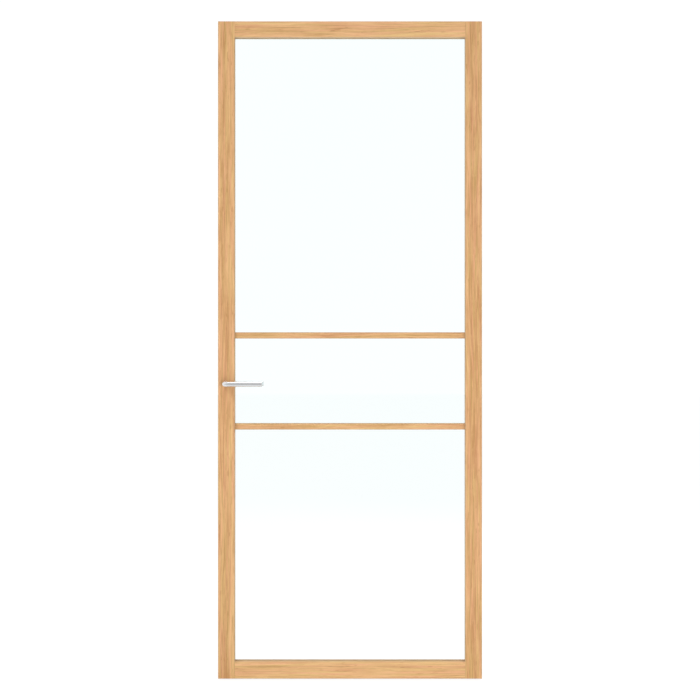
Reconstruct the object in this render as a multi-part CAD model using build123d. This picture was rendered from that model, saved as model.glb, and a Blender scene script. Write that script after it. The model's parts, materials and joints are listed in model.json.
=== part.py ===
from build123d import *

import os

# Glazed interior door leaf: an oak frame with two thin glazing bars, three panes held by beads
# at the back, a mortise latch in the lock edge and a pair of round-bar levers.
# X runs from the lock edge to the hinge edge, which is the plane X = 0. Y runs from the front
# face to the back face, with 0 in the middle of the leaf. Z runs up from the leaf's foot.
# All sizes are millimetres.

# Leaf
leaf_width = 930.0
leaf_height = 2315.0
leaf_thickness = 40.0
stile_width = 59.0
top_rail_height = 57.0
bottom_rail_height = 62.0
outer_arris = 1.5
inner_arris = 1.0

# Joints of the frame
tenon_length = 32.0
tenon_thickness = 12.0
tenon_shoulder = 11.0
bar_tenon_length = 10.0

# Glazing bars
bar_height = 22.0
bar_thickness = 30.0
bar_web_height = 7.0
lower_bar_centre = 888.0
upper_bar_centre = 1209.0

# Glazing
glass_thickness = 5.0
glass_arris = 0.5
rail_glass_gap = 3.0
bar_glass_gap = 2.0
seal_thickness = 2.0
seal_set_back = 1.0
rebate_width = 12.0
bead_set_back = 1.0
bead_arris = 1.0
block_length = 60.0
block_from_pane_end = 90.0

# Lock
backset = 27.0
spindle_height = 1038.0
follower_diameter = 18.0
follower_gap = 0.1
bolt_above_spindle = 25.0
bolt_height = 22.0
bolt_thickness = 12.0
bolt_length = 30.0
bolt_arris = 1.0
bolt_gap = 0.3
case_above_bolt = 14.0
case_below_follower = 51.0
case_depth = 41.0
case_thickness = 14.0
case_corner = 4.0
pocket_gap = 0.5
faceplate_past_case = 30.0
faceplate_width = 20.0
faceplate_thickness = 3.0
plate_screw_from_end = 12.0
plate_screw_hole = 4.5
plate_screw_sink = 8.5

# Lever set
bar_diameter = 19.0
lever_reach = 130.0
lever_projection = 50.0
bend_radius = 15.0
lever_end_arris = 1.0
neck_gap = 0.4
shank_diameter = 14.0
shank_gap = 0.1
collar_diameter = 20.0
collar_thickness = 1.5
collar_arris = 0.5
bush_diameter = 18.0
bush_depth = 12.0
spindle_side = 8.0
spindle_end_gap = 1.0
socket_depth = 26.0
grub_screw_hole = 5.0
grub_screw_from_collar = 9.0

# Planes that several pieces share, worked out from the sizes above
lock_edge = -leaf_width
half_leaf = leaf_thickness / 2
half_bar = bar_thickness / 2
half_glass = glass_thickness / 2
seat_front = -half_glass - seal_thickness
seat_back = half_glass + seal_thickness
sight_x = (lock_edge + stile_width, -stile_width)
rebate_x = (sight_x[0] - rebate_width, sight_x[1] + rebate_width)
sight_bottom = bottom_rail_height
sight_top = leaf_height - top_rail_height
bar_centres = {"lower": lower_bar_centre, "upper": upper_bar_centre}

spindle_x = lock_edge + backset
neck_start = half_leaf + collar_thickness + neck_gap
shank_end = half_leaf - bush_depth
bolt_middle = spindle_height + bolt_above_spindle
case_low = spindle_height - follower_diameter / 2 - case_below_follower
case_high = bolt_middle + bolt_height / 2 + case_above_bolt
case_front = lock_edge + faceplate_thickness
case_back = case_front + case_depth
plate_middle = (case_low + case_high) / 2
plate_length = case_high - case_low + 2 * faceplate_past_case


def block(x, y, z):
    """A box between two values on each axis, in either order."""
    lows, highs = zip(sorted(x), sorted(y), sorted(z))
    size = [high - low for low, high in zip(lows, highs)]
    return Pos(*lows) * Box(*size, align=(Align.MIN, Align.MIN, Align.MIN))


def rod(diameter, y):
    """A round bar on the spindle's axis, between two values of Y in either order."""
    low, high = sorted(y)
    bar = Cylinder(diameter / 2, high - low, align=(Align.CENTER, Align.CENTER, Align.MIN))
    return Pos(spindle_x, low, spindle_height) * Rot(-90, 0, 0) * bar


def square_bar(y):
    """A bar of the spindle's square section between two values of Y."""
    half = spindle_side / 2
    return block(
        (spindle_x - half, spindle_x + half), y, (spindle_height - half, spindle_height + half)
    )


def edges_at(solid, axis, x=None, y=None, z=None):
    """The edges along an axis whose middle has the coordinates that are given."""
    wanted = [(i, value) for i, value in enumerate((x, y, z)) if value is not None]
    return [
        edge
        for edge in solid.edges().filter_by(axis)
        if all(abs(tuple(edge.center())[i] - value) < 0.01 for i, value in wanted)
    ]


def leaf_blank():
    """The whole leaf as one board with eased edges, which trims the stiles and rails."""
    board = block((lock_edge, 0), (-half_leaf, half_leaf), (0, leaf_height))
    return fillet(board.edges().filter_by(Axis.Y, reverse=True), outer_arris)


def stile(outside, inside):
    """A full-height stile, rebated behind its front lip; outside is its free edge."""
    rebate = inside + (rebate_width if outside > inside else -rebate_width)
    lip = block((outside, inside), (-half_leaf, seat_front), (0, leaf_height))
    lip = fillet(edges_at(lip, Axis.Z, x=inside, y=-half_leaf), inner_arris)
    web = block((outside, rebate), (seat_front, half_leaf), (0, leaf_height))
    web = fillet(edges_at(web, Axis.Z, x=rebate, y=half_leaf), inner_arris)
    return (lip + web).clean()


def rail(outside, inside):
    """A rail between the stiles: a front lip, and a web with longer shoulders behind it."""
    rebate = inside + (rebate_width if outside > inside else -rebate_width)
    lip = block(sight_x, (-half_leaf, seat_front), (outside, inside))
    lip = fillet(edges_at(lip, Axis.X, y=-half_leaf, z=inside), inner_arris)
    web = block(rebate_x, (seat_front, half_leaf), (outside, rebate))
    web = fillet(edges_at(web, Axis.X, y=half_leaf, z=rebate), inner_arris)
    return (lip + web).clean()


def rail_tenons(outside, inside):
    """The tenons of a rail, as one slat through its length and into both stiles."""
    inward = -1 if outside > inside else 1
    return block(
        (sight_x[0] - tenon_length, sight_x[1] + tenon_length),
        (-tenon_thickness / 2, tenon_thickness / 2),
        (outside + inward * tenon_shoulder, inside - inward * (rebate_width + inner_arris)),
    )


def glazing_bar(centre):
    """A thin bar: a front lip between the stiles and a web housed in their rebates."""
    z = (centre - bar_height / 2, centre + bar_height / 2)
    lip = block(sight_x, (-half_bar, seat_front), z)
    lip = fillet(edges_at(lip, Axis.X, y=-half_bar), inner_arris)
    return (lip + bar_web(centre, rebate_x, (seat_front, half_bar))).clean()


def bar_web(centre, x, y):
    """A slat of the height of a bar's web."""
    return block(x, y, (centre - bar_web_height / 2, centre + bar_web_height / 2))


def bar_tenons(centre):
    """The stub tenons of a bar, as one slat through its web."""
    x = (rebate_x[0] - bar_tenon_length, rebate_x[1] + bar_tenon_length)
    return bar_web(centre, x, (seat_front, seat_back))


def leaf_frame():
    """Stiles, rails and bars, with the mortises cut for every tenon."""
    blank = leaf_blank()
    tenons = {"top": rail_tenons(leaf_height, sight_top), "bottom": rail_tenons(0, sight_bottom)}
    slats = {name: bar_tenons(centre) for name, centre in bar_centres.items()}
    mortises = [*tenons.values(), *slats.values()]
    pieces = {
        "lock_stile": (stile(lock_edge, sight_x[0]) & blank) - mortises,
        "hinge_stile": (stile(0, sight_x[1]) & blank) - mortises,
        "top_rail": (rail(leaf_height, sight_top) & blank) + tenons["top"],
        "bottom_rail": (rail(0, sight_bottom) & blank) + tenons["bottom"],
    }
    for name, centre in bar_centres.items():
        pieces[f"{name}_glazing_bar"] = glazing_bar(centre) + slats[name]
    return pieces


def light_limits(light):
    """The rebates and the sight lines below and above a light, and whether each is on a rail."""
    floors = {
        "top": ("upper", None),
        "middle": ("lower", "upper"),
        "bottom": (None, "lower"),
    }
    below, above = floors[light]
    low = (sight_bottom - rebate_width, sight_bottom)
    high = (sight_top + rebate_width, sight_top)
    if below:
        low = (bar_centres[below] + bar_web_height / 2, bar_centres[below] + bar_height / 2)
    if above:
        high = (bar_centres[above] - bar_web_height / 2, bar_centres[above] - bar_height / 2)
    return (low[0], high[0]), (low[1], high[1]), (below is None, above is None)


def seal_ring(outer_x, outer_z, sight_z, y):
    """A flat strip round the pane on one face, kept back from the sight lines."""
    inner_x = (sight_x[0] - seal_set_back, sight_x[1] + seal_set_back)
    inner_z = (sight_z[0] - seal_set_back, sight_z[1] + seal_set_back)
    return block(outer_x, y, outer_z) - block(inner_x, (-half_leaf, half_leaf), inner_z)


def corner_wedge(x, z, along, up):
    """What lies past the mitre line from a corner of a rebate, on the rail's side of it."""
    reach = leaf_width / 4
    far = x + along * reach
    outline = Polyline((x, z), (far, z + up * reach), (far, z - up * reach), (x, z - up * reach),
                       close=True)
    face = make_face(Plane((0, half_leaf, 0), x_dir=(1, 0, 0), z_dir=(0, -1, 0)) * outline)
    return extrude(face, half_leaf, dir=(0, -1, 0))


def beads(rebate_z, sight_z, on_rail):
    """Four beads round a pane, mitred on a rail and butted on a bar."""
    deep = half_leaf - bead_set_back
    shallow = half_bar - bead_set_back
    uprights = {}
    for side, end in (("left", 0), ("right", 1)):
        bead = block((rebate_x[end], sight_x[end]), (seat_back, deep), rebate_z)
        bead = fillet(edges_at(bead, Axis.Z, x=sight_x[end], y=deep), bead_arris)
        uprights[side] = bead
    levels = {}
    for side, end in (("bottom", 0), ("top", 1)):
        back = deep if on_rail[end] else shallow
        x = rebate_x if on_rail[end] else sight_x
        bead = block(x, (seat_back, back), (rebate_z[end], sight_z[end]))
        bead = fillet(edges_at(bead, Axis.X, y=back, z=sight_z[end]), bead_arris)
        if on_rail[end]:
            up = 1 if end == 0 else -1
            left = corner_wedge(rebate_x[0], rebate_z[end], 1, up)
            right = corner_wedge(rebate_x[1], rebate_z[end], -1, up)
            uprights = {"left": uprights["left"] - left, "right": uprights["right"] - right}
            middle = (rebate_x[0] + rebate_width, rebate_x[1] - rebate_width)
            long_middle = block(middle, (0, half_leaf), (rebate_z[end], sight_z[end]))
            ends = [bead & left, bead & right]
            bead = (bead & long_middle) + [wedge - long_middle for wedge in ends]
        levels[side] = bead
    return uprights | levels


def glazing(light):
    """One light: its pane, seals, setting blocks and beads."""
    rebate_z, sight_z, on_rail = light_limits(light)
    gaps = [rail_glass_gap if rail_side else bar_glass_gap for rail_side in on_rail]
    glass_x = (rebate_x[0] + rail_glass_gap, rebate_x[1] - rail_glass_gap)
    glass_z = (rebate_z[0] + gaps[0], rebate_z[1] - gaps[1])
    sheet = block(glass_x, (-half_glass, half_glass), glass_z)
    pieces = {
        f"{light}_pane": chamfer(sheet.edges().filter_by(Axis.Y, reverse=True), glass_arris),
        f"{light}_front_seal": seal_ring(glass_x, glass_z, sight_z, (seat_front, -half_glass)),
        f"{light}_back_seal": seal_ring(glass_x, glass_z, sight_z, (half_glass, seat_back)),
    }
    under_glass = (rebate_z[0], glass_z[0])
    half = block_length / 2
    pieces[f"{light}_setting_blocks"] = Compound(
        children=[
            block((middle - half, middle + half), (-half_glass, half_glass), under_glass)
            for middle in (glass_x[0] + block_from_pane_end, glass_x[1] - block_from_pane_end)
        ]
    )
    for side, bead in beads(rebate_z, sight_z, on_rail).items():
        pieces[f"{light}_pane_bead_{side}"] = bead
    return pieces


def plate_strip():
    """The outline of the lock's faceplate, round at both ends, at its full thickness."""
    strip = SlotOverall(plate_length, faceplate_width, rotation=90)
    at = Plane((lock_edge, 0, plate_middle), x_dir=(0, 1, 0), z_dir=(1, 0, 0))
    return extrude(at * strip, faceplate_thickness)


def plate_screw_holes():
    """The countersunk holes near the ends of the faceplate."""
    sink = (plate_screw_sink - plate_screw_hole) / 2
    offset = plate_length / 2 - plate_screw_from_end
    bottom = (Align.CENTER, Align.CENTER, Align.MIN)
    hole = Cylinder(plate_screw_hole / 2, faceplate_thickness, align=bottom)
    hole += Cone(plate_screw_sink / 2, plate_screw_hole / 2, sink, align=bottom)
    return [
        Pos(lock_edge, 0, plate_middle + place) * Rot(0, 90, 0) * hole
        for place in (-offset, offset)
    ]


def bolt_bar(gap):
    """The latch bolt's bar, larger all round by a gap; its front end is in the leaf's edge."""
    x = (lock_edge - gap, lock_edge + bolt_length + gap)
    half_y = bolt_thickness / 2 + gap
    half_z = bolt_height / 2 + gap
    return block(x, (-half_y, half_y), (bolt_middle - half_z, bolt_middle + half_z))


def lock():
    """The mortise latch: case, faceplate, retracted bolt and the follower on the spindle."""
    half_case = case_thickness / 2
    case = block((case_front, case_back), (-half_case, half_case), (case_low, case_high))
    case = fillet(edges_at(case, Axis.Y, x=case_back), case_corner)
    across = (-half_case, half_case)
    bolt = bolt_bar(0)
    return {
        "lock_case": case - bolt_bar(bolt_gap) - rod(follower_diameter + 2 * follower_gap, across),
        "lock_faceplate": plate_strip() - bolt_bar(bolt_gap) - plate_screw_holes(),
        "latch_bolt": chamfer(bolt.faces().sort_by(Axis.X)[0].edges(), bolt_arris),
        "lock_follower": rod(follower_diameter, across) - square_bar(across),
    }


def lock_cuts():
    """What is cut from the lock stile: the case's pocket, the plate's recess, the lever hole."""
    half_pocket = case_thickness / 2 + pocket_gap
    pocket = block(
        (lock_edge, case_back + pocket_gap),
        (-half_pocket, half_pocket),
        (case_low - pocket_gap, case_high + pocket_gap),
    )
    return [pocket, plate_strip(), rod(bush_diameter, (-half_leaf, half_leaf))]


def collar(side):
    """The bush that a lever's shank turns in, with a thin flange on the leaf's face."""
    face = side * half_leaf
    flange = rod(collar_diameter, (face, face + side * collar_thickness))
    rim = flange.faces().sort_by(Axis.Y)[-1 if side > 0 else 0].edges()
    bush = rod(bush_diameter, (face, side * shank_end))
    bore = rod(shank_diameter + 2 * shank_gap, (0, side * leaf_thickness))
    return chamfer(rim, collar_arris) + bush - bore


def lever(side):
    """A lever bent from round bar, with a turned shank; side is -1 in front, 1 at the back."""
    axis_y = side * (half_leaf + lever_projection)
    bend_y = axis_y - side * bend_radius
    bend_x = spindle_x + bend_radius
    neck = rod(bar_diameter, (side * neck_start, bend_y))
    section = Plane((spindle_x, bend_y, spindle_height), z_dir=(0, side, 0))
    hinge_line = Axis((bend_x, bend_y, spindle_height), (0, 0, -side))
    elbow = revolve(section * Circle(bar_diameter / 2), hinge_line, 90)
    grip_length = lever_reach - bend_radius
    bottom = (Align.CENTER, Align.CENTER, Align.MIN)
    grip = Cylinder(bar_diameter / 2, grip_length, align=bottom)
    grip = chamfer(grip.faces().sort_by(Axis.Z)[-1].edges(), lever_end_arris)
    grip = Pos(bend_x, axis_y, spindle_height) * Rot(0, 90, 0) * grip
    shank = rod(shank_diameter, (side * shank_end, side * neck_start))
    socket = square_bar((side * shank_end, side * (shank_end + socket_depth)))
    grub_y = side * (neck_start + grub_screw_from_collar)
    grub_hole = Cylinder(grub_screw_hole / 2, bar_diameter / 2,
                         align=(Align.CENTER, Align.CENTER, Align.MAX))
    return neck + elbow + grip + shank - socket - Pos(spindle_x, grub_y, spindle_height) * grub_hole


def lever_set():
    """Both levers, the collars they turn in and the spindle that joins them."""
    half_spindle = shank_end + socket_depth - spindle_end_gap
    return {
        "front_lever": lever(-1),
        "back_lever": lever(1),
        "front_collar": collar(-1),
        "back_collar": collar(1),
        "spindle": square_bar((-half_spindle, half_spindle)),
    }


parts = leaf_frame()
parts["lock_stile"] = parts["lock_stile"] - lock_cuts()
for light in ("top", "middle", "bottom"):
    parts |= glazing(light)
parts |= lock() | lever_set()

os.makedirs("parts", exist_ok=True)
for name, shape in parts.items():
    export_step(shape, f"parts/{name}.step")
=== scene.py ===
"""Finish of a glazed oak door leaf: wood, glass, steel, small fasteners and the studio round it.

X runs from the lock edge to the hinge edge, Y from the front face to the back face and Z up.
All lengths are metres.
"""

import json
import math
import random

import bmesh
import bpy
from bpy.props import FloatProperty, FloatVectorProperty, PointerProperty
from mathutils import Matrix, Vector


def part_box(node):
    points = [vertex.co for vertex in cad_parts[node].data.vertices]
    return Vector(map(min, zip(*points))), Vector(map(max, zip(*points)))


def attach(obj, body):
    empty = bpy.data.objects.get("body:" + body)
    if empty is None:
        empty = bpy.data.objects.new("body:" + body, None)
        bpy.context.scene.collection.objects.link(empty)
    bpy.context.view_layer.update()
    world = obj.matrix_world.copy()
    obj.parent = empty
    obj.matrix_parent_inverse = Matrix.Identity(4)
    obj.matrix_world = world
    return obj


bl_info = {
    "name": "Glazed door finish",
    "version": (1, 0, 0),
    "blender": (4, 5, 0),
    "location": "View3D > Sidebar > Door",
    "description": "Gives a glazed oak door leaf its wood, glass, steel, fasteners and studio",
    "category": "Object",
}

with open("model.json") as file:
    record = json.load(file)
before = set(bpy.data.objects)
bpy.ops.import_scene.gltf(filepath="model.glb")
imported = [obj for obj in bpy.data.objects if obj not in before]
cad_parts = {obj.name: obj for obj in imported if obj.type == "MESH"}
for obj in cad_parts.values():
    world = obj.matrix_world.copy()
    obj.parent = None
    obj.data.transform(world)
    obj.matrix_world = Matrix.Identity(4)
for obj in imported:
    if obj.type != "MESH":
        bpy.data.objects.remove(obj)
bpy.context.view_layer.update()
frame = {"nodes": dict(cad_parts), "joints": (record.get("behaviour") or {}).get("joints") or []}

LIGHTS = ("top", "middle", "bottom")


def middle_of(node):
    """The centre of a CAD node's box."""
    low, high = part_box(node)
    return (Vector(low) + Vector(high)) / 2


# The lever's axis is the joint's, and the glass lines come from the beads that lie on the bars.
SPINDLE = Vector(frame["joints"][0]["pos_m"])
LEAF_LOW = Vector(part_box("lock_stile")[0])
LEAF_HIGH = Vector(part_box("hinge_stile")[1])
LEAF_MIDDLE = (LEAF_LOW + LEAF_HIGH) / 2
SIGHT_LEFT, SIGHT_RIGHT = (corner[0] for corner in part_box("top_pane_bead_bottom"))
SIGHT_LOW, SIGHT_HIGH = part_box("bottom_rail")[1][2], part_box("top_rail")[0][2]


# Settings

def colour(name, description, value):
    """A colour setting, written as the screen shows it, from 0 to 1."""
    return FloatVectorProperty(
        name=name, description=description, default=value, subtype="COLOR_GAMMA",
        min=0.0, max=1.0,
    )


def length(name, description, value):
    """A length setting in metres."""
    return FloatProperty(
        name=name, description=description, default=value, unit="LENGTH", precision=4, min=0.0
    )


def share(name, description, value, top=1.0):
    """A plain number from 0 to a top value."""
    return FloatProperty(name=name, description=description, default=value, min=0.0, max=top)


class OakSettings(bpy.types.PropertyGroup):
    """Colours, figure, painted shade and painted light of the oak."""

    pale: colour("Pale wood", "Lightest streaks", (0.940, 0.775, 0.578))
    honey: colour("Honey", "Main colour of the lacquered oak", (0.878, 0.699, 0.510))
    dark: colour("Dark grain", "Dark streaks and pores", (0.776, 0.590, 0.400))
    pink: colour("Pink streaks", "Tint of the warmer streaks", (1.0, 0.958, 0.975))
    yellow: colour("Yellow streaks", "Tint of the yellower streaks", (0.980, 1.0, 0.940))
    # Painted shade along the arrises
    arris: colour("Arrises", "Lacquer-thin wood along the arrises", (0.800, 0.690, 0.540))
    # Painted shade along the glass and in the corners, and the colour of the dark joint lines
    shade_and_joints: colour("Dusty corners", "Wood along the glass and in the corners", (0.640, 0.500, 0.350))
    # Painted light: a paler colour for the undersides above the glass
    clean: colour("Clean undersides", "Wood that no dust reaches", (0.965, 0.850, 0.710))
    end: colour("End grain", "Tint that the thicker lacquer gives end grain", (0.80, 0.70, 0.58))
    ring: length("Ring width", "Growth ring across the board", 0.0031)
    pith: length("Pith distance", "How far from the board the tree's centre lies", 0.085)
    # Width of the band of painted shade along each arris
    arris_band: length("Arris band", "Width of the rubbed band along each arris", 0.0022)
    # Reaches of the painted shade at the glass, into the rails' corners and at the bars' ends
    glass_shade_reach: length("Dust at the glass", "Dust lies this far before and behind it", 0.010)
    corner_shade_reach: length("Corner dust", "Length of the dusty run into a rail's corner", 0.028)
    bar_end_shade_reach: length("Bar end dust", "Length of the dusty run at a bar's end", 0.014)
    roughness: share("Roughness", "Roughness of the matt lacquer", 0.50)


class GlassSettings(bpy.types.PropertyGroup):
    """The panes."""

    # The tint deepens from the pale one near the floor to this one at the head: a painted
    # reflection
    tint: colour("Tint", "What a pane lets through near its head", (0.968, 1.0, 1.0))
    pale: colour("Pale tint", "What a pane lets through near the floor", (0.984, 1.0, 1.0))
    index: share("Refraction", "Index of refraction", 1.5, 2.0)


class SteelSettings(bpy.types.PropertyGroup):
    """Levers, collars, faceplate and screws."""

    satin: colour("Satin steel", "Colour of the brushed levers and plate", (0.915, 0.920, 0.925))
    zinc: colour("Zinc", "Colour of the plated lock parts and screws", (0.760, 0.765, 0.750))
    roughness: share("Roughness", "Roughness of the satin finish", 0.24)


class FastenerSettings(bpy.types.PropertyGroup):
    """Screws and pins, and the lever's neck that holds its screw."""

    plate_screw_head: length("Plate screw head", "Diameter of the countersunk heads", 0.0082)
    plate_screw_depth: length("Plate screw depth", "Depth of the countersunk heads", 0.0022)
    plate_screw_sunk: length("Plate screw sunk", "How far the heads lie in the plate", 0.0002)
    plate_screw_inset: length("From plate end", "Screw centre to the end of the plate", 0.012)
    neck_radius: length("Neck radius", "Half the diameter of a lever's bar", 0.0095)
    neck_gap: length("Neck gap", "From the collar to the start of the neck", 0.0004)
    grub_screw: length("Grub screw", "Diameter of the screw in a lever's neck", 0.0048)
    grub_length: length("Grub screw length", "Length of the screw in a lever's neck", 0.0036)
    grub_offset: length("From the neck's start", "Grub screw centre to the neck's start", 0.009)
    grub_sunk: length("Grub screw sunk", "How far the screw lies inside the neck", 0.0012)
    pin_head: length("Pin head", "Diameter of the filled pin heads in the beads", 0.0022)
    pin_sunk: length("Pin sunk", "How deep a pin head lies in its bead", 0.0006)
    pin_proud: length("Pin proud", "How far its filler stands above the bead", 0.00008)
    pin_from_end: length("Pin from end", "First pin to the end of the bead", 0.045)
    pin_pitch: length("Pin pitch", "Distance between the pins of a bead", 0.16)


class StageSettings(bpy.types.PropertyGroup):
    """Camera, floor and lamps."""

    distance: length("Camera distance", "From the camera to the leaf's front face", 6.2)
    view_width: length("View width", "What the frame spans at the front face", 2.4647)
    sensor: share("Sensor width", "Width of the camera's sensor in millimetres", 36.0, 100.0)
    floor_size: length("Floor", "Side of the floor", 80.0)
    floor_gap: length("Gap under the leaf", "The floor lies this far below the leaf", 0.006)
    floor_glow: share("Floor glow", "Share of the floor's look that is plain white", 0.75)
    floor_white: share("Floor white", "Strength of the plain white share", 1.19, 4.0)
    floor_grey: share("Floor level", "Level of the floor that takes light and shadow", 0.9)
    floor_reach: length("Floor reach", "The floor is dimmest from this far before the leaf", 1.5)
    backdrop_white: share("Backdrop white", "Strength of the white seen past the leaf", 1.05, 4.0)
    dim_side: share("Dim side", "How much darker metal sees the camera's side", 0.48)
    ambient: share("Ambient", "Strength of the world's light on the leaf", 0.54, 4.0)
    key: share("Key", "Power of the key lamp in watts", 80.0, 5000.0)
    fill: share("Fill", "Power of the low fill lamp in watts", 34.0, 5000.0)
    back: share("Back", "Power of the lamp behind the leaf in watts", 92.0, 5000.0)
    overhead: share("Overhead", "Power of the soft box above the leaf in watts", 40.0, 5000.0)
    lamp_size: length("Lamp size", "Side of the square lamps", 3.2)
    fill_size: length("Fill size", "Side of the low fill lamp", 1.6)


# Shader graph

def linear(value):
    """A colour as the shader takes it, with alpha 1, from one as the screen shows it."""
    steps = [c / 12.92 if c <= 0.04045 else ((c + 0.055) / 1.055) ** 2.4 for c in value[:3]]
    return (*steps, 1.0)


class Value:
    """A socket's output; arithmetic on it adds Math nodes."""

    def __init__(self, graph, socket):
        self.graph = graph
        self.socket = socket

    def math(self, operation, *others, clamp=False):
        """A Math node with this value first."""
        sockets = dict(enumerate((self, *others)))
        return self.graph.add(
            "ShaderNodeMath", {"operation": operation, "use_clamp": clamp}, sockets
        )

    def __add__(self, other):
        return self.math("ADD", other)

    def __sub__(self, other):
        return self.math("SUBTRACT", other)

    def __rsub__(self, other):
        return self.graph.add("ShaderNodeMath", {"operation": "SUBTRACT"}, {0: other, 1: self})

    def __mul__(self, other):
        return self.math("MULTIPLY", other)

    def __truediv__(self, other):
        return self.math("DIVIDE", other)

    def __pow__(self, other):
        return self.math("POWER", other)

    __radd__ = __add__
    __rmul__ = __mul__

    def over(self, level, softness):
        """1 where the value is above a level, 0 below, with a soft edge."""
        return ((self - level) / softness + 0.5).math("ADD", 0.0, clamp=True)


class Graph:
    """A node tree that is built up from empty."""

    def __init__(self, tree):
        self.tree = tree
        tree.nodes.clear()

    def add(self, kind, settings=None, sockets=None, outputs=0):
        """Adds a node: its settings first, then its sockets; gives one output or a tuple."""
        node = self.tree.nodes.new(kind)
        for key, setting in (settings or {}).items():
            if key == "stops":
                self.set_stops(node.color_ramp, setting)
            else:
                setattr(node, key, setting)
        for key, content in (sockets or {}).items():
            if isinstance(content, Value):
                self.tree.links.new(content.socket, node.inputs[key])
            else:
                node.inputs[key].default_value = content
        if isinstance(outputs, tuple):
            return tuple(Value(self, node.outputs[key]) for key in outputs)
        return Value(self, node.outputs[outputs])

    @staticmethod
    def set_stops(ramp, stops):
        """Gives a colour ramp its stops, each a place and a colour or a grey level."""
        while len(ramp.elements) < len(stops):
            ramp.elements.new(0.5)
        for element, (place, shade) in zip(ramp.elements, stops):
            element.position = place
            element.color = shade if isinstance(shade, tuple) else (shade, shade, shade, 1.0)

    def mix(self, factor, first, second, mode="MIX"):
        """Two colours mixed."""
        settings = {"data_type": "RGBA", "blend_type": mode, "clamp_factor": True}
        return self.add("ShaderNodeMix", settings, {0: factor, 6: first, 7: second}, 2)

    def vector(self, operation, first, second=None, outputs=0):
        """A Vector Math node."""
        sockets = {0: first} if second is None else {0: first, 1: second}
        return self.add("ShaderNodeVectorMath", {"operation": operation}, sockets, outputs)

    def scaled(self, place, factors):
        """A place scaled by three factors."""
        return self.vector("MULTIPLY", place, factors)

    def split(self, place):
        """The three parts of a place."""
        return self.add("ShaderNodeSeparateXYZ", {}, {0: place}, ("X", "Y", "Z"))

    def noise(self, place, detail, roughness, outputs=0):
        """A noise texture, 0 to 1."""
        sockets = {"Vector": place, "Scale": 1.0, "Detail": detail, "Roughness": roughness}
        return self.add("ShaderNodeTexNoise", {}, sockets, outputs)

    def ramp(self, factor, stops):
        """A colour ramp."""
        return self.add("ShaderNodeValToRGB", {"stops": stops}, {0: factor})

    def place(self, location=(0, 0, 0), rotation=(0, 0, 0)):
        """Object coordinates, turned and then moved."""
        place = self.add("ShaderNodeTexCoord", outputs="Object")
        return self.add(
            "ShaderNodeMapping", {}, {"Vector": place, "Location": location, "Rotation": rotation}
        )

    def bump(self, height, distance, strength=1.0):
        """A normal bumped by a height."""
        return self.add(
            "ShaderNodeBump", {}, {"Height": height, "Distance": distance, "Strength": strength}
        )

    def principled(self, **sockets):
        """Ends the tree in a Principled shader; a socket's spaces are written as underscores."""
        names = {key.replace("_", " "): content for key, content in sockets.items()}
        self.end(self.add("ShaderNodeBsdfPrincipled", {}, names))

    def end(self, shader, kind="ShaderNodeOutputMaterial"):
        """Links a shader to the tree's output."""
        output = self.tree.nodes.new(kind)
        self.tree.links.new(shader.socket, output.inputs["Surface"])


def start(name):
    """A new material and its empty graph."""
    material = bpy.data.materials.new(name)
    material.use_nodes = True
    return material, Graph(material.node_tree)


# Materials

# How much paler than the rest each board is: each board's own tone, and for the bottom rail also
# painted light that makes up for the weaker lamp light near the floor
PALENESS = {
    "lock_stile": -0.03, "hinge_stile": -0.06, "top_rail": 0.13, "bottom_rail": 0.20,
    "upper_glazing_bar": -0.03, "lower_glazing_bar": 0.09,
}
# Which way across its board a stile or rail meets the glass; bars and beads have it on both
INWARD = {"lock_stile": 1, "hinge_stile": -1, "top_rail": 1, "bottom_rail": -1}
# Noises of the figure: scale on the three axes, the grain's last, then detail and roughness
FIGURE = {
    "wander": ((7.0, 7.0, 1.5), 2.0, 0.5),
    "ripple": ((90.0, 90.0, 9.0), 2.0, 0.5),
    "streak": ((200.0, 200.0, 6.5), 2.0, 0.55),
    "hue": ((140.0, 140.0, 4.0), 2.0, 0.5),
    "cloud": ((22.0, 22.0, 3.0), 2.0, 0.5),
    "fibre": ((850.0, 850.0, 12.0), 2.0, 0.6),
    "tick": ((230.0, 230.0, 26.0), 1.0, 0.5),
    "pore": ((1500.0, 1500.0, 45.0), 1.0, 0.5),
}
# How far the grain wanders and ripples, in metres
BENDS = {"wander": 0.034, "ripple": 0.0016}
# Scale of the ray flecks round the tree's centre, out from it and along the grain
RAYS = (55.0, 130.0, 55.0)


def figure(graph, place, part, outputs=0):
    """One noise of the oak's figure, drawn out along the grain."""
    scale, detail, roughness = FIGURE[part]
    return graph.noise(graph.scaled(place, scale), detail, roughness, outputs)


def board_places(graph, node, along):
    """Places from the board's middle and in the log it was cut from, both with Z as the grain."""
    settings = bpy.context.scene.door_oak
    turn = Matrix.Rotation(-math.pi / 2, 4, "Y") if along == "X" else Matrix.Identity(4)
    board = graph.place(tuple(-(turn @ middle_of(node))), tuple(turn.to_euler()))
    chance = random.Random(node)
    side = chance.choice((-1, 1)) * chance.uniform(0.35, 0.9)
    deep = chance.uniform(0.5, 1.0)
    log = (settings.pith * side, settings.pith * deep, chance.uniform(3.0, 9.0))
    return board, graph.vector("ADD", board, log)


def bent_grain(graph, place):
    """Places in the log, bent as the tree's centre wanders and its fibres ripple."""
    for part, reach in BENDS.items():
        bend = graph.vector("SUBTRACT", figure(graph, place, part, "Color"), (0.5, 0.5, 0.5))
        place = graph.vector("ADD", place, graph.scaled(bend, (reach, reach, 0.0)))
    return place


def growth_rings(graph, radius):
    """The rings, 0 where they are dark, and the porous early wood of each, 1 inside it."""
    years = radius / bpy.context.scene.door_oak.ring
    uneven = graph.add(
        "ShaderNodeTexNoise", {"noise_dimensions": "1D"},
        {"W": years * 0.23, "Scale": 1.0, "Detail": 1.0},
    )
    season = (years + uneven * 2.2).math("FRACT")
    ring = graph.ramp(season, [(0.0, 0.10), (0.16, 0.42), (0.5, 0.82), (0.9, 0.66), (1.0, 0.10)])
    return ring, 1.0 - season.over(0.30, 0.35)


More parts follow.
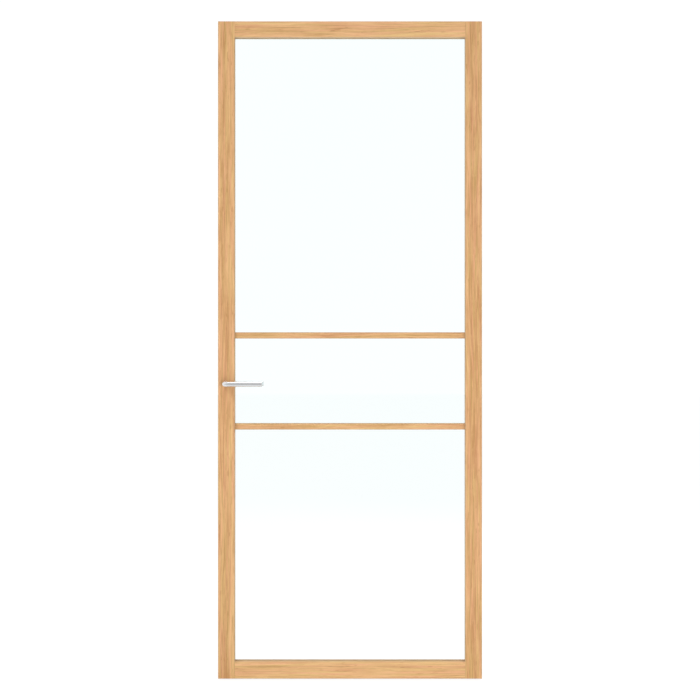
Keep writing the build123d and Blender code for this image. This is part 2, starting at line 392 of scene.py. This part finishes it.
def ray_flecks(graph, across, deep, radius, height):
    """Pale flecks of the rays that run out from the tree's centre."""
    around, outward, along = RAYS
    place = graph.add("ShaderNodeCombineXYZ", {}, {
        "X": deep.math("ARCTAN2", across) * around, "Y": radius * outward, "Z": height * along,
    })
    return graph.noise(place, 1.0, 0.5).over(0.68, 0.08)


def painted_shade_and_joints(graph, shade, board, node, along):
    """Paints shade along the arrises, along the glass and into the corners where pieces meet, and
    draws the dark joint lines.
    """
    settings = bpy.context.scene.door_oak
    low, high = (Vector(corner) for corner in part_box(node))
    half = (high - low) / 2
    wide = half.z if along == "X" else half.x
    across, deep, reach = graph.split(board)
    shade_and_joints = linear(settings.shade_and_joints)

    # Painted shade along the arrises, left out where a stile meets a rail
    band = settings.arris_band
    side = across.math("ABSOLUTE")
    near_face = deep.math("ABSOLUTE").over(half.y - band, band / 2)
    arris = side.over(wide - band, band / 2) * near_face
    if node in INWARD and along == "Z":
        joined = reach.math("ABSOLUTE").over((SIGHT_HIGH - SIGHT_LOW) / 2, 0.004)
        arris = arris * (1.0 - joined * (across * INWARD[node]).over(0.0, 0.001))
    shade = graph.mix(arris * 0.6, shade, linear(settings.arris))

    # Painted shade darkens the sight faces before and behind the glass, but not the top rail's
    # underside
    toward_glass = across * INWARD[node] if node in INWARD else side
    from_glass = (deep + middle_of(node).y).math("ABSOLUTE")
    on_sight_face = toward_glass.over(wide - 0.0003, 0.0004)
    beyond_glass_shade = from_glass.over(settings.glass_shade_reach, 0.014)
    if node != "top_rail":
        shaded_sight = on_sight_face * (1.0 - beyond_glass_shade)
        shade = graph.mix(shaded_sight * 0.22, shade, shade_and_joints)
    if along == "Z" or node in BEADS:
        return shade

    # Painted shade darkens the ends of the bars and the corners of the rails where they meet the
    # stiles, and a thin dark joint line runs at the very end
    sight_half = (SIGHT_RIGHT - SIGHT_LEFT) / 2
    from_middle = reach.math("ABSOLUTE")
    if node in INWARD:
        near_glass = toward_glass.over(wide - 0.003, 0.003)
        corner = from_middle.over(sight_half - 0.010, settings.corner_shade_reach) * near_glass
        shade = graph.mix(corner * 0.6, shade, shade_and_joints)
    else:
        bar_end = from_middle.over(sight_half - 0.0055, settings.bar_end_shade_reach)
        shade = graph.mix(bar_end * 0.7, shade, shade_and_joints)
    joint_line = from_middle.over(sight_half - 0.0005, 0.0005)
    return graph.mix(joint_line * 0.4, shade, shade_and_joints)


def oak(node, along):
    """Lacquered oak for one piece, with its grain along X or Z and its own cut from the log."""
    settings = bpy.context.scene.door_oak
    material, graph = start(f"oak_{node}")
    board, place = board_places(graph, node, along)
    bent = bent_grain(graph, place)
    across, deep, height = graph.split(bent)
    radius = (across * across + deep * deep) ** 0.5
    ring, early = growth_rings(graph, radius)
    ray = ray_flecks(graph, across, deep, radius, height)

    streak, hue = figure(graph, bent, "streak"), figure(graph, bent, "hue")
    cloud, fibre = figure(graph, place, "cloud"), figure(graph, place, "fibre")
    tick = figure(graph, bent, "tick").over(0.66, 0.07) * fibre.over(0.52, 0.16)
    pore = figure(graph, place, "pore").over(0.60, 0.06) * (early * 0.75 + 0.25)

    # A darker heart runs near the middle of each board
    from_heart, _, _ = graph.split(graph.vector("ADD", board, (0.004, 0.0, 0.0)))
    heart = 1.0 - (from_heart + (cloud - 0.5) * 0.03).math("ABSOLUTE").over(0.014, 0.010)

    # The tone is 0.5 where the wood has its main colour, and higher where it is paler
    tone = (
        0.54 + PALENESS.get(node, 0.0) + (ring - 0.52) * 0.20 + (streak - 0.5) * 1.45
        + (fibre - 0.5) * 0.30 + (cloud - 0.5) * 0.35 - heart * 0.16 - tick * 0.50
    )
    shade = graph.ramp(tone, [
        (0.10, linear(settings.dark)), (0.5, linear(settings.honey)), (0.90, linear(settings.pale))
    ])
    tint = graph.mix(hue.over(0.5, 0.30), linear(settings.yellow), linear(settings.pink))
    shade = graph.mix(1.0, shade, tint, "MULTIPLY")
    shade = graph.mix(pore * 0.30, shade, linear(settings.dark), "MULTIPLY")
    shade = graph.mix(ray * 0.22, shade, linear(settings.pale))
    # Painted shade along the arrises, the glass and the corners, and the dark joint lines
    shade = painted_shade_and_joints(graph, shade, board, node, along)

    # End grain drinks more lacquer and is darker
    facing = graph.add("ShaderNodeTexCoord", outputs="Normal")
    grain = (1.0, 0.0, 0.0) if along == "X" else (0.0, 0.0, 1.0)
    end = graph.vector("DOT_PRODUCT", facing, grain, "Value").math("ABSOLUTE").over(0.8, 0.2)
    shade = graph.mix(end * 0.55, shade, linear(settings.end), "MULTIPLY")

    # Painted light: the undersides above the glass are made paler, as if lit from below
    if node == "top_rail" or node.endswith("_bead_top"):
        _, _, upward = graph.split(facing)
        shade = graph.mix((1.0 - upward.over(-0.8, 0.2)) * 0.65, shade, linear(settings.clean))

    relief = fibre * 0.45 - pore * 0.8 + ring * 0.22
    graph.principled(
        Base_Color=shade,
        Roughness=settings.roughness + (fibre - 0.5) * 0.10 + pore * 0.16 + end * 0.15,
        Normal=graph.bump(relief, 0.00022, 0.55),
        Specular_IOR_Level=0.12,
    )
    return material


def clear_glass():
    """Clear float glass: a faint tint that a painted reflection deepens towards the head, and
    lamps shine through it.
    """
    settings = bpy.context.scene.door_glass
    material, graph = start("clear_glass")
    place = graph.place()
    marks = graph.noise(graph.scaled(place, (9.0, 9.0, 5.0)), 4.0, 0.6).over(0.62, 0.5)
    cloud = graph.noise(graph.scaled(place, (1.3, 1.3, 1.0)), 1.0, 0.5)
    _, _, height = graph.split(place)
    # Painted reflection: the tint deepens towards the leaf's head
    depth = (height / LEAF_HIGH.z + (cloud - 0.5) * 0.9).math("ADD", 0.0, clamp=True)
    shade = graph.mix(depth, linear(settings.pale), linear(settings.tint))
    glass = graph.add("ShaderNodeBsdfPrincipled", {}, {
        "Base Color": shade,
        "Roughness": marks * 0.012,
        "IOR": settings.index,
        "Transmission Weight": 1.0,
    })
    through = graph.add("ShaderNodeBsdfTransparent", {}, {"Color": linear(settings.tint)})
    lamp_ray = graph.add("ShaderNodeLightPath", outputs="Is Shadow Ray")
    graph.end(graph.add("ShaderNodeMixShader", {}, {0: lamp_ray, 1: glass, 2: through}))
    return material


def darker(shade, level):
    """A shader colour at a share of its level."""
    return (*(level * c for c in shade[:3]), 1.0)


def brushed(graph, place, along, fine=1400.0, slow=14.0):
    """Fine scratches drawn out along one axis."""
    factors = tuple(slow if axis == along else fine for axis in "XYZ")
    return graph.noise(graph.scaled(place, factors), 2.0, 0.6)


def satin_steel(name, along="Z", bend=None):
    """Brushed stainless steel; with a bend, the brushing turns from Y to X past that X."""
    settings = bpy.context.scene.door_steel
    material, graph = start(name)
    place = graph.place()
    scratch = brushed(graph, place, along)
    if bend is not None:
        across, _, _ = graph.split(place)
        on_grip = across.over(bend, 0.004)
        scratch = scratch * on_grip + brushed(graph, place, "Y") * (1.0 - on_grip)
    touch = graph.noise(graph.scaled(place, (45.0, 45.0, 45.0)), 2.0, 0.5)
    shade = linear(settings.satin)
    graph.principled(
        Base_Color=graph.mix(scratch.over(0.5, 0.7), darker(shade, 0.88), shade),
        Metallic=1.0,
        Roughness=settings.roughness + (scratch - 0.5) * 0.14 + (touch - 0.5) * 0.10,
        Normal=graph.bump(scratch, 0.00003, 0.3),
    )
    return material


def zinc_steel(name):
    """Zinc-plated steel with its soft cloudy bloom."""
    settings = bpy.context.scene.door_steel
    material, graph = start(name)
    cloud = graph.noise(graph.scaled(graph.place(), (160.0, 160.0, 160.0)), 3.0, 0.6)
    shade = linear(settings.zinc)
    graph.principled(
        Base_Color=graph.mix(cloud, darker(shade, 0.72), shade),
        Metallic=0.9,
        Roughness=0.34 + cloud * 0.16,
        Normal=graph.bump(cloud, 0.00003, 0.4),
    )
    return material


def sealing_tape():
    """Matt foam tape with a fine closed skin."""
    material, graph = start("sealing_tape")
    place = graph.place()
    cell = graph.noise(graph.scaled(place, (900.0, 900.0, 900.0)), 2.0, 0.6)
    soft = graph.noise(graph.scaled(place, (25.0, 25.0, 25.0)), 2.0, 0.5)
    dark, pale = linear((0.50, 0.43, 0.35)), linear((0.64, 0.56, 0.46))
    graph.principled(
        Base_Color=graph.mix(cell * 0.5 + soft * 0.5, dark, pale),
        Roughness=0.82 + (cell - 0.5) * 0.2,
        Normal=graph.bump(cell, 0.0001, 0.5),
    )
    return material


def black_plastic():
    """Moulded black plastic."""
    material, graph = start("black_plastic")
    grain = graph.noise(graph.scaled(graph.place(), (700.0, 700.0, 700.0)), 2.0, 0.6)
    graph.principled(
        Base_Color=graph.mix(grain, linear((0.10, 0.10, 0.10)), linear((0.17, 0.17, 0.17))),
        Roughness=0.55 + (grain - 0.5) * 0.2,
        Normal=graph.bump(grain, 0.00008, 0.4),
    )
    return material


def wood_filler():
    """Filler over the pin heads, a little darker and duller than the oak."""
    material, graph = start("wood_filler")
    grain = graph.noise(graph.scaled(graph.place(), (1800.0, 1800.0, 1800.0)), 2.0, 0.6)
    dark, pale = linear((0.66, 0.49, 0.32)), linear((0.80, 0.63, 0.44))
    graph.principled(
        Base_Color=graph.mix(grain, dark, pale),
        Roughness=0.62 + (grain - 0.5) * 0.2,
        Normal=graph.bump(grain, 0.00005, 0.5),
    )
    return material


def dress(node, material):
    """Gives a CAD node's object a material in all its slots."""
    for slot in frame["nodes"][node].material_slots:
        slot.material = material


# Modelling helpers

def piece_from(mesh, name, material, body, place=Matrix.Identity(4)):
    """Turns a bmesh into a finished piece at its place, on a body and a material slot."""
    mesh.transform(place)
    bmesh.ops.remove_doubles(mesh, verts=mesh.verts, dist=1e-7)
    bmesh.ops.recalc_face_normals(mesh, faces=mesh.faces)
    data = bpy.data.meshes.new(name)
    mesh.to_mesh(data)
    mesh.free()
    data.materials.append(material)
    piece = bpy.data.objects.new(name, data)
    bpy.context.collection.objects.link(piece)
    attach(piece, body)
    return piece


def join(target, source, place):
    """Adds a bmesh to another one at a place."""
    source.transform(place)
    carrier = bpy.data.meshes.new("carrier")
    source.to_mesh(carrier)
    source.free()
    target.from_mesh(carrier)
    bpy.data.meshes.remove(carrier)


def recess(mesh, faces, depth, narrowing=1.0):
    """Pushes faces down along Z as one block, and narrows the floor."""
    pushed = bmesh.ops.extrude_face_region(mesh, geom=faces)["geom"]
    floor = [part for part in pushed if isinstance(part, bmesh.types.BMVert)]
    bmesh.ops.translate(mesh, verts=floor, vec=(0, 0, -depth))
    bmesh.ops.scale(mesh, verts=floor, vec=(narrowing, narrowing, 1.0))
    bmesh.ops.delete(mesh, geom=faces, context="FACES")


def screw_head(diameter, depth):
    """A countersunk head with a cross recess, its top at Z = 0 and facing +Z."""
    # Shares of the diameter, the half angle of the cross's arms, and its share of the depth
    tip, rims, inner, outer = 0.27, (0.04, 0.24, 0.11, 0.05), 0.05, 0.20
    arm, sunk = 12.0, 0.55
    mesh = bmesh.new()
    bmesh.ops.create_cone(
        mesh, cap_ends=True, segments=32, radius1=diameter * tip, radius2=diameter / 2,
        depth=depth, matrix=Matrix.Translation((0, 0, -depth / 2)),
    )
    core = next(face for face in mesh.faces if face.normal.z > 0.9)
    for rim in rims:
        bmesh.ops.inset_region(
            mesh, faces=[core], thickness=diameter * rim, use_even_offset=True
        )
    cross = [core]
    for face in mesh.faces:
        middle = face.calc_center_median()
        turn = math.degrees(math.atan2(middle.y, middle.x)) % 90.0
        on_arm = turn < arm or turn > 90.0 - arm
        in_reach = diameter * inner < middle.xy.length < diameter * outer
        if face != core and face.normal.z > 0.9 and on_arm and in_reach:
            cross.append(face)
    recess(mesh, cross, depth * sunk, narrowing=0.55)
    return mesh


def socket_screw(diameter, depth):
    """A grub screw's end with a hexagon socket, its top at Z = 0 and facing +Z."""
    # Shares of the diameter, and the socket's share of the depth
    rim, socket, sunk = 0.07, 0.29, 0.6
    mesh = bmesh.new()
    bmesh.ops.create_cone(
        mesh, cap_ends=True, segments=24, radius1=diameter / 2, radius2=diameter / 2,
        depth=depth, matrix=Matrix.Translation((0, 0, -depth / 2)),
    )
    top = next(face for face in mesh.faces if face.normal.z > 0.9)
    bmesh.ops.bevel(
        mesh, geom=list(top.edges), offset=diameter * rim, offset_type="OFFSET", segments=2,
        profile=0.5, affect="EDGES", material=-1,
    )
    top = max(mesh.faces, key=lambda face: (round(face.normal.z, 3), face.calc_area()))
    outer = list(top.edges)
    bmesh.ops.delete(mesh, geom=[top], context="FACES_ONLY")
    hexagon = bmesh.ops.create_circle(
        mesh, cap_ends=False, segments=6, radius=diameter * socket
    )
    inner = list({edge for vert in hexagon["verts"] for edge in vert.link_edges})
    bmesh.ops.bridge_loops(mesh, edges=outer + inner)
    walls = bmesh.ops.extrude_edge_only(mesh, edges=inner)["geom"]
    floor = [part for part in walls if isinstance(part, bmesh.types.BMVert)]
    bmesh.ops.translate(mesh, verts=floor, vec=(0, 0, -depth * sunk))
    bmesh.ops.contextual_create(mesh, geom=floor)
    return mesh


# Operators

WOOD = {
    "lock_stile": "Z", "hinge_stile": "Z", "top_rail": "X", "bottom_rail": "X",
    "upper_glazing_bar": "X", "lower_glazing_bar": "X",
}
BEADS = {
    f"{light}_pane_bead_{side}": "Z" if side in ("left", "right") else "X"
    for light in LIGHTS
    for side in ("top", "bottom", "left", "right")
}


class DOOR_OT_oak(bpy.types.Operator):
    """Finishes the stiles, rails, glazing bars and beads in oak, each with its own grain"""

    bl_idname = "door.oak"
    bl_label = "Oak frame and beads"

    def execute(self, context):
        for node, along in (WOOD | BEADS).items():
            dress(node, oak(node, along))
        return {"FINISHED"}


class DOOR_OT_glazing(bpy.types.Operator):
    """Finishes the panes, the glazing tape round them and the blocks under them"""

    bl_idname = "door.glazing"
    bl_label = "Panes, tape and blocks"

    def execute(self, context):
        glass, tape, plastic = clear_glass(), sealing_tape(), black_plastic()
        for light in LIGHTS:
            dress(f"{light}_pane", glass)
            dress(f"{light}_front_seal", tape)
            dress(f"{light}_back_seal", tape)
            dress(f"{light}_setting_blocks", plastic)
        return {"FINISHED"}


class DOOR_OT_ironmongery(bpy.types.Operator):
    """Finishes the levers, collars and lock in satin and zinc-plated steel"""

    bl_idname = "door.ironmongery"
    bl_label = "Levers and lock"

    def execute(self, context):
        from_neck_to_bend = 0.012
        levers = satin_steel("satin_steel_levers", "X", SPINDLE.x + from_neck_to_bend)
        plate = satin_steel("satin_steel_plate", "Z")
        ring = satin_steel("satin_steel_collars", "Y")
        zinc = zinc_steel("zinc_steel")
        for node in ("front_lever", "back_lever"):
            dress(node, levers)
        for node in ("front_collar", "back_collar"):
            dress(node, ring)
        for node in ("lock_faceplate", "latch_bolt"):
            dress(node, plate)
        for node in ("lock_case", "lock_follower", "spindle"):
            dress(node, zinc)
        return {"FINISHED"}


class DOOR_OT_screws(bpy.types.Operator):
    """Makes the two screws of the faceplate and the grub screw under each lever's neck"""

    bl_idname = "door.screws"
    bl_label = "Screws"

    def execute(self, context):
        settings = context.scene.door_fasteners
        zinc = zinc_steel("screw_steel")
        low, high = (Vector(corner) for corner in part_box("lock_faceplate"))
        out = Matrix.Rotation(-math.pi / 2, 4, "Y")
        inset = settings.plate_screw_inset
        screws = bmesh.new()
        # Each screw's cross stopped at its own angle
        for height, angle in ((low.z + inset, 0.4), (high.z - inset, 1.1)):
            place = Matrix.Translation((low.x + settings.plate_screw_sunk, 0, height)) @ out
            head = screw_head(settings.plate_screw_head, settings.plate_screw_depth)
            join(screws, head, place @ Matrix.Rotation(angle, 4, "Z"))
        piece_from(screws, "faceplate_screws", zinc, "leaf")

        down = Matrix.Rotation(math.pi, 4, "X")
        height = SPINDLE.z - settings.neck_radius + settings.grub_sunk
        for name, side in (("front", -1), ("back", 1)):
            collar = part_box(f"{name}_collar")
            face = collar[0][1] if side < 0 else collar[1][1]
            depth = face + side * (settings.neck_gap + settings.grub_offset)
            place = Matrix.Translation((SPINDLE.x, depth, height)) @ down
            screw = socket_screw(settings.grub_screw, settings.grub_length)
            piece_from(screw, f"{name}_lever_grub_screw", zinc, "lever_set", place)
        return {"FINISHED"}


class DOOR_OT_pins(bpy.types.Operator):
    """Makes the filled pin heads in the sight faces of the beads"""

    bl_idname = "door.pins"
    bl_label = "Bead pins"

    def execute(self, context):
        settings = context.scene.door_fasteners
        radius, taper = settings.pin_head / 2, 0.8
        sunk, proud = settings.pin_sunk, settings.pin_proud
        pins = bmesh.new()
        for node, along in BEADS.items():
            low, high = (Vector(corner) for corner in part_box(node))
            axis = "XYZ".index(along)
            across = 2 - axis
            outward = 1 if node.endswith(("_bottom", "_left")) else -1
            face = high[across] if outward > 0 else low[across]
            first = low[axis] + settings.pin_from_end
            run = high[axis] - settings.pin_from_end - first
            steps = max(1, round(run / settings.pin_pitch))
            if across == 0:
                turn = Matrix.Rotation(outward * math.pi / 2, 4, "Y")
            else:
                turn = Matrix.Rotation(0 if outward > 0 else math.pi, 4, "X")
            for step in range(steps + 1):
                spot = Vector((0, (low.y + high.y) / 2, 0))
                spot[axis] = first + run * step / steps
                spot[across] = face
                pin = bmesh.new()
                bmesh.ops.create_cone(
                    pin, cap_ends=True, segments=12, radius1=radius, radius2=radius * taper,
                    depth=sunk + proud, matrix=Matrix.Translation((0, 0, (proud - sunk) / 2)),
                )
                join(pins, pin, Matrix.Translation(spot) @ turn)
        piece_from(pins, "bead_pin_heads", wood_filler(), "leaf")
        return {"FINISHED"}


class DOOR_OT_studio(bpy.types.Operator):
    """Makes the floor, the world, the lamps and the camera"""

    bl_idname = "door.studio"
    bl_label = "Studio"

    def execute(self, context):
        settings = context.scene.door_stage
        context.scene.view_settings.view_transform = "Standard"
        self.make_world(context, settings)
        self.make_floor(settings)
        self.make_lamps(settings)
        self.make_camera(context, settings)
        return {"FINISHED"}

    def seen(self, graph, depth, reach, strength):
        """Whether a ray sees the plain white, and the white's strength for it.

        Camera rays, glossy rays and rays through glass see it. In reflections it is dimmer
        towards the camera's side, where depth is below zero.
        """
        camera, glossy, through = graph.add(
            "ShaderNodeLightPath", {}, {},
            ("Is Camera Ray", "Is Glossy Ray", "Is Transmission Ray"),
        )
        front = (depth * (-1.0 / reach)).math("ADD", 0.0, clamp=True)
        reflected = glossy * (1.0 - through)
        dimmed = 1.0 - front * front * reflected * bpy.context.scene.door_stage.dim_side
        return camera.math("MAXIMUM", glossy).math("MAXIMUM", through), dimmed * strength

    def make_world(self, context, settings):
        """Plain light on the door, and white where the backdrop is seen or reflected."""
        world = bpy.data.worlds.new("studio")
        context.scene.world = world
        world.use_nodes = True
        graph = Graph(world.node_tree)
        white = (1.0, 1.0, 1.0, 1.0)
        _, depth, _ = graph.split(graph.add("ShaderNodeTexCoord", outputs="Generated"))
        share_seen, strength = self.seen(graph, depth, 1.0, settings.backdrop_white)
        light = graph.add("ShaderNodeBackground", {}, {0: white, 1: settings.ambient})
        sight = graph.add("ShaderNodeBackground", {}, {0: white, 1: strength})
        mixed = graph.add("ShaderNodeMixShader", {}, {0: share_seen, 1: light, 2: sight})
        graph.end(mixed, "ShaderNodeOutputWorld")

    def make_floor(self, settings):
        """A white floor, of which a share takes the door's shadow."""
        material, graph = start("white_floor")
        _, depth, _ = graph.split(graph.place())
        share_seen, strength = self.seen(
            graph, depth, settings.floor_reach, settings.floor_white
        )
        grey = (*[settings.floor_grey] * 3, 1.0)
        plain = graph.add("ShaderNodeBsdfDiffuse", {}, {"Color": grey})
        glow = graph.add("ShaderNodeEmission", {}, {"Strength": strength})
        share_seen = share_seen * settings.floor_glow
        graph.end(graph.add("ShaderNodeMixShader", {}, {0: share_seen, 1: plain, 2: glow}))
        mesh = bmesh.new()
        bmesh.ops.create_grid(
            mesh, x_segments=1, y_segments=1, size=settings.floor_size / 2,
            matrix=Matrix.Translation((LEAF_MIDDLE.x, 0, -settings.floor_gap)),
        )
        data = bpy.data.meshes.new("floor")
        mesh.to_mesh(data)
        mesh.free()
        data.materials.append(material)
        floor = bpy.data.objects.new("floor", data)
        bpy.context.collection.objects.link(floor)

    def make_lamps(self, settings):
        """Soft lamps; only the metal sees the overhead one, and it sees no other."""
        # Power, place from the leaf's foot, height of the point aimed at, and size
        lamps = {
            "key": (settings.key, (-2.4, -4.4, 3.6), LEAF_MIDDLE.z, settings.lamp_size),
            "fill": (settings.fill, (1.0, -3.0, 0.5), 0.0, settings.fill_size),
            "back": (settings.back, (1.6, 4.6, 4.0), LEAF_MIDDLE.z, settings.lamp_size),
            "overhead": (settings.overhead, (0.0, 0.0, 5.2), LEAF_MIDDLE.z, settings.lamp_size),
        }
        for name, (power, offset, aim_height, size) in lamps.items():
            lamp = bpy.data.lights.new(name, "AREA")
            lamp.shape = "SQUARE"
            lamp.size = size
            lamp.energy = power
            holder = bpy.data.objects.new(name, lamp)
            spot = Vector((LEAF_MIDDLE.x, 0, 0)) + Vector(offset)
            aim = Vector((LEAF_MIDDLE.x, 0, aim_height)) - spot
            holder.location = spot
            holder.rotation_euler = aim.to_track_quat("-Z", "Y").to_euler()
            holder.visible_camera = False
            holder.visible_transmission = False
            holder.visible_glossy = name == "overhead"
            holder.visible_diffuse = name != "overhead"
            bpy.context.collection.objects.link(holder)

    def make_camera(self, context, settings):
        """A level camera at the leaf's middle."""
        data = bpy.data.cameras.new("camera")
        data.sensor_width = settings.sensor
        data.lens = settings.sensor * settings.distance / settings.view_width
        camera = bpy.data.objects.new("camera", data)
        camera.location = (LEAF_MIDDLE.x, LEAF_LOW.y - settings.distance, LEAF_MIDDLE.z)
        camera.rotation_euler = (math.pi / 2, 0, 0)
        context.collection.objects.link(camera)
        context.scene.camera = camera


class DOOR_PT_panel(bpy.types.Panel):
    """Lists the pieces of the door"""

    bl_idname = "DOOR_PT_panel"
    bl_label = "Glazed door"
    bl_space_type = "VIEW_3D"
    bl_region_type = "UI"
    bl_category = "Door"

    def draw(self, context):
        for operator in OPERATORS:
            self.layout.operator(operator.bl_idname)
        for name in SETTINGS:
            group = getattr(context.scene, name)
            box = self.layout.box()
            for key in group.__annotations__:
                box.prop(group, key)


OPERATORS = (
    DOOR_OT_oak, DOOR_OT_glazing, DOOR_OT_ironmongery, DOOR_OT_screws, DOOR_OT_pins,
    DOOR_OT_studio,
)
SETTINGS = {
    "door_oak": OakSettings,
    "door_glass": GlassSettings,
    "door_steel": SteelSettings,
    "door_fasteners": FastenerSettings,
    "door_stage": StageSettings,
}


def register():
    for group in (*SETTINGS.values(), *OPERATORS, DOOR_PT_panel):
        bpy.utils.register_class(group)
    for name, group in SETTINGS.items():
        setattr(bpy.types.Scene, name, PointerProperty(type=group))


def unregister():
    for name in SETTINGS:
        delattr(bpy.types.Scene, name)
    for group in (DOOR_PT_panel, *reversed(OPERATORS), *SETTINGS.values()):
        bpy.utils.unregister_class(group)


def main():
    """Dresses the door."""
    register()
    bpy.ops.door.oak()
    bpy.ops.door.glazing()
    bpy.ops.door.ironmongery()
    bpy.ops.door.screws()
    bpy.ops.door.pins()
    bpy.ops.door.studio()


if __name__ == "__main__":
    main()
